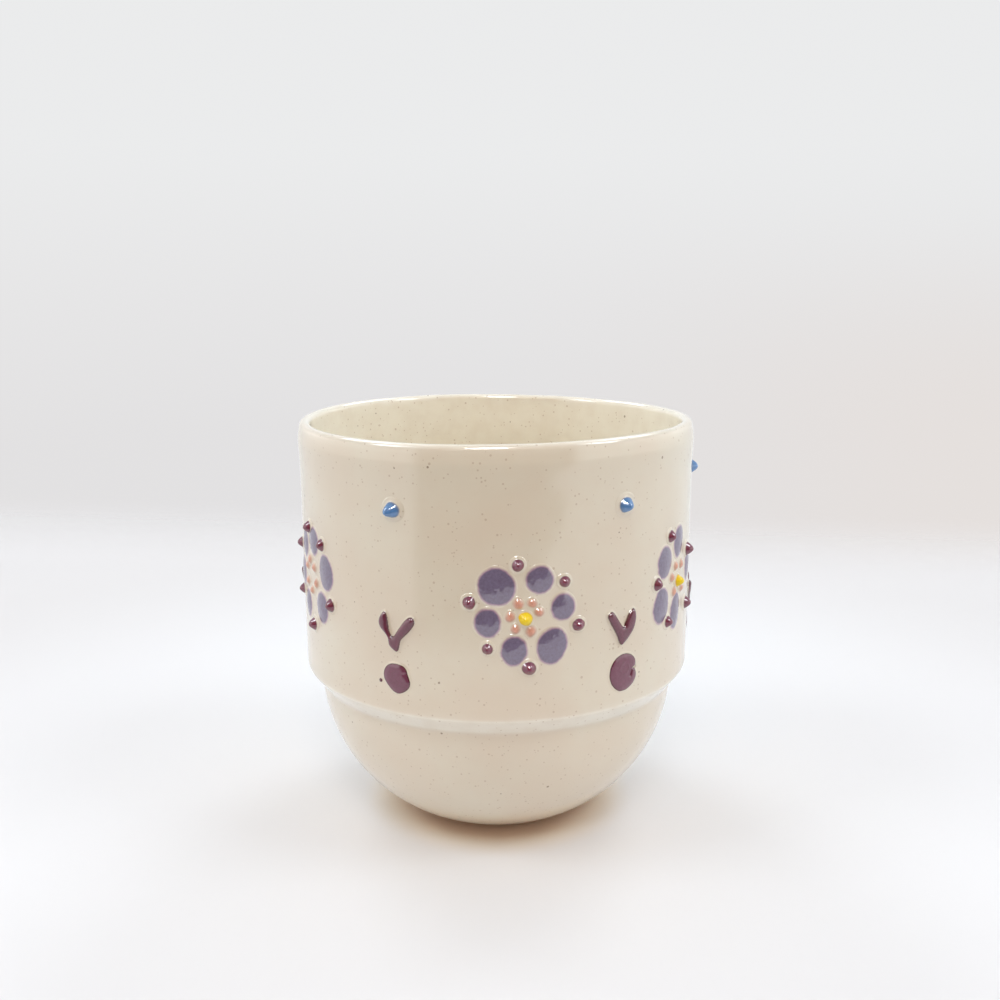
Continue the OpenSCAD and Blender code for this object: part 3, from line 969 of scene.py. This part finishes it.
# %% Helpers for the groups
def new_group(name, given=(), result=()):
    """A node group with those float inputs, and outputs of the kinds that are named."""
    group = bpy.data.node_groups.new(name, "ShaderNodeTree")
    for socket in given:
        group.interface.new_socket(socket, in_out="INPUT", socket_type="NodeSocketFloat")
    for socket, kind in result:
        group.interface.new_socket(socket, in_out="OUTPUT", socket_type="NodeSocket" + kind)
    return group, add_node(group, "NodeGroupOutput")


def noise(tree, place, scale, detail=2.0, rough=0.5):
    """The value of a noise texture at a place."""
    node = add_node(tree, "ShaderNodeTexNoise")
    node.inputs["Scale"].default_value = scale
    node.inputs["Detail"].default_value = detail
    node.inputs["Roughness"].default_value = rough
    plug(tree, place, node.inputs["Vector"])
    return node.outputs["Fac"]


# %% The group for the cream glaze
def glaze_group():
    """Colour of the cream glaze, and the height of the waves in its surface."""
    group, result = new_group("cream_glaze", ("Speck Share", "Inside", "Edge"),
                              (("Colour", "Color"), ("Waves", "Float")))
    given = add_node(group, "NodeGroupInput").outputs
    scaled = add_node(group, "ShaderNodeVectorMath", operation="SCALE")
    scaled.inputs["Scale"].default_value = 1 / MM
    plug(group, add_node(group, "ShaderNodeTexCoord").outputs["Object"], scaled.inputs[0])
    place = scaled.outputs[0]

    def specks(spacing, radius, share):
        """A mask of specks: one in each cell of a lattice, and only in a share of the cells."""
        node = add_node(group, "ShaderNodeTexVoronoi")
        node.inputs["Scale"].default_value = 1 / spacing
        plug(group, place, node.inputs["Vector"])
        chance = add_node(group, "ShaderNodeSeparateColor")
        plug(group, node.outputs["Color"], chance.inputs[0])
        grown = arithmetic(group, "MULTIPLY", chance.outputs[1], radius / spacing)
        depth = arithmetic(group, "SUBTRACT", grown, node.outputs["Distance"])
        mask = fade(group, depth, 0, SPECK_BLUR * radius / spacing)
        allowed = arithmetic(group, "LESS_THAN", chance.outputs[0],
                             arithmetic(group, "MULTIPLY", given["Speck Share"], share))
        return arithmetic(group, "MULTIPLY", mask, allowed)

    blush = fade(group, noise(group, place, 1 / BLUSH_SIZE), 0.35, 0.65)
    colour = blend_colours(group, blush, CREAM, PINK_CREAM)
    # The inside is painted lighter and yellower, for the light bounced inside the mug.
    colour = blend_colours(group, given["Inside"], colour, INNER_CREAM_PAINTED_LIGHT)
    # Painted light: the lip paler, partly glaze and partly painted highlight, and the step lighter with a
    # highlight line.
    colour = blend_colours(group, given["Edge"], colour, PALE_GLAZE_AND_PAINTED_LIGHT)
    clouds = fade(group, noise(group, place, 1 / CLOUD_SIZE, 3), 0.3, 0.8, 0, 0.35)
    colour = blend_colours(group, clouds, colour, PINK_CREAM)
    for spacing, radius, share, strength, tone in SPECKS:
        mask = arithmetic(group, "MULTIPLY", specks(spacing, radius, share), strength)
        colour = blend_colours(group, mask, colour, tone)
    plug(group, colour, result.inputs["Colour"])
    swell, peel = (arithmetic(group, "MULTIPLY", noise(group, place, 1 / size, 1), high)
                   for size, high in (SWELL, PEEL))
    plug(group, arithmetic(group, "ADD", swell, peel), result.inputs["Waves"])
    return group


cream_glaze = glaze_group()
print(f"the cream glaze has {len(cream_glaze.nodes)} nodes")

# %% [markdown]
# ## The finishes
#
# One clear glaze covers everything, so every finish is built in the same way: a rough ground for
# the clay or the slip, and a smooth coat over it. The coat mirrors more where the slip is thick
# and shiny, which its index of refraction sets. Slip is grainy, its rim has a tone of its own,
# and past its edge it fades into the cream over a fraction of a millimetre, as slip does when the
# glaze melts.

# %% The glazed shader
COAT_IOR = 1.7
COAT_ROUGHNESS = 0.035
GROUND_ROUGHNESS = 0.45
GROUND_SPECULAR = 0.2


def glazed_shader(tree, colour, waves_height, coat_ior=COAT_IOR):
    """The clear-glazed ground: a Principled shader with a coat."""
    bump = add_node(tree, "ShaderNodeBump")
    bump.inputs["Distance"].default_value = 1.0
    bump.inputs["Strength"].default_value = 1.0
    plug(tree, waves_height, bump.inputs["Height"])
    shader = add_node(tree, "ShaderNodeBsdfPrincipled")
    for name, value in (("Roughness", GROUND_ROUGHNESS), ("Specular IOR Level", GROUND_SPECULAR),
                        ("Coat Weight", 1.0), ("Coat Roughness", COAT_ROUGHNESS), ("Coat IOR", coat_ior)):
        shader.inputs[name].default_value = value
    plug(tree, colour, shader.inputs["Base Color"])
    plug(tree, bump.outputs["Normal"], shader.inputs["Normal"])
    plug(tree, bump.outputs["Normal"], shader.inputs["Coat Normal"])
    plug(tree, shader.outputs[0], add_node(tree, "ShaderNodeOutputMaterial").inputs["Surface"])


# %% The body's finish
def glaze_colour(tree, **places):
    """The cream glaze's colour and waves, in a material's tree. places feed its named inputs."""
    node = add_node(tree, "ShaderNodeGroup", node_tree=cream_glaze)
    node.inputs["Speck Share"].default_value = 1.0
    for name, source in places.items():
        plug(tree, source, node.inputs[name])
    return node.outputs["Colour"], node.outputs["Waves"]


def painted(tree, name):
    """The value that the mesh stores under that name."""
    return add_node(tree, "ShaderNodeAttribute", attribute_name=name).outputs["Fac"]


def cream_finish():
    """The body's finish, with a bare clay ring under the foot."""
    material, tree = new_tree("cream_glaze_over_clay")
    colour, height = glaze_colour(tree, Inside=painted(tree, "inside"), Edge=painted(tree, "edge"))
    colour = blend_colours(tree, painted(tree, "bare_clay"), colour, BARE_CLAY)
    glazed_shader(tree, colour, height)
    return material


def dress(piece, material):
    piece.data.materials.clear()
    piece.data.materials.append(material)
    print(f"{piece.name} wears {material.name}")


dress(body, cream_finish())

# %% The group for the grain of slip
GRAIN_SIZE = 0.5
WANDER_SIZE = 1.1
WANDER_REACH = 0.22
UNEVEN_HEIGHT = 0.0004


def grain_group():
    """The grain of slip: light and dark blotches, and how far its edge wanders, in millimetres."""
    group, result = new_group("slip_grain", result=(("Grain", "Float"), ("Wander", "Float")))
    place = add_node(group, "ShaderNodeTexCoord").outputs["Object"]
    grain = noise(group, place, 1 / (GRAIN_SIZE * MM), 3, 0.65)
    plug(group, fade(group, grain, 0.25, 0.75), result.inputs["Grain"])
    wander = arithmetic(group, "SUBTRACT", noise(group, place, 1 / (WANDER_SIZE * MM), 1), 0.5)
    plug(group, arithmetic(group, "MULTIPLY", wander, WANDER_REACH), result.inputs["Wander"])
    return group


slip_grain = grain_group()
print(f"the grain of slip has {len(slip_grain.nodes)} nodes")


# %% The finish of slip
def slip_finish(name, light, dark, rim, rim_width, edge_blur, wander, coat_ior=COAT_IOR):
    """Grainy coloured slip with a rim of another tone, which fades into the cream past its edge."""
    material, tree = new_tree(name)
    cream, height = glaze_colour(tree)
    grain = add_node(tree, "ShaderNodeGroup", node_tree=slip_grain)
    ragged = arithmetic(tree, "MULTIPLY", grain.outputs["Wander"], wander)
    edge = arithmetic(tree, "ADD", painted(tree, "slip_edge"), ragged)
    slip = blend_colours(tree, grain.outputs["Grain"], dark, light)
    slip = blend_colours(tree, fade(tree, edge, -rim_width, -0.3 * rim_width), slip, rim)
    outside = fade(tree, edge, -edge_blur, edge_blur)
    uneven = arithmetic(tree, "MULTIPLY", grain.outputs["Wander"], UNEVEN_HEIGHT)
    glazed_shader(tree, blend_colours(tree, outside, slip, cream),
                  arithmetic(tree, "ADD", height, uneven), coat_ior)
    return material


# %% Dress the marks
# Colours: light grain, dark grain, rim. Widths are in millimetres.
SLIPS = {
    "petals": dict(light=(0.170, 0.138, 0.235), dark=(0.135, 0.098, 0.175), rim=(0.36, 0.22, 0.32),
                   rim_width=0.45, edge_blur=0.28, wander=1.6, coat_ior=2.0),
    "florets": dict(light=(0.72, 0.35, 0.245), dark=(0.58, 0.255, 0.165), rim=(0.60, 0.36, 0.26),
                    rim_width=0.55, edge_blur=0.28, wander=1.2),
    "outer_beads": dict(light=(0.195, 0.010, 0.054), dark=(0.130, 0.006, 0.032), rim=(0.13, 0.010, 0.034),
                        rim_width=0.2, edge_blur=0.11, wander=0.6, coat_ior=1.85),
    "yellow_centres": dict(light=(0.90, 0.70, 0.002), dark=(0.88, 0.60, 0.002), rim=(0.80, 0.52, 0.008),
                           rim_width=0.25, edge_blur=0.12, wander=0.6, coat_ior=1.38),
    "blue_beads": dict(light=(0.082, 0.240, 0.540), dark=(0.060, 0.195, 0.460), rim=(0.08, 0.18, 0.38),
                       rim_width=0.25, edge_blur=0.12, wander=0.6, coat_ior=1.9),
    "v_marks": dict(light=(0.150, 0.012, 0.046), dark=(0.098, 0.007, 0.028), rim=(0.085, 0.003, 0.014),
                    rim_width=0.28, edge_blur=0.05, wander=0.4, coat_ior=1.8),
    "maroon_discs": dict(light=(0.168, 0.027, 0.072), dark=(0.130, 0.020, 0.053), rim=(0.075, 0.002, 0.010),
                         rim_width=0.32, edge_blur=0.05, wander=0.4, coat_ior=1.75),
}

for node, look in SLIPS.items():
    dress(pieces[node], slip_finish(PIECE_NAMES[node], **look))
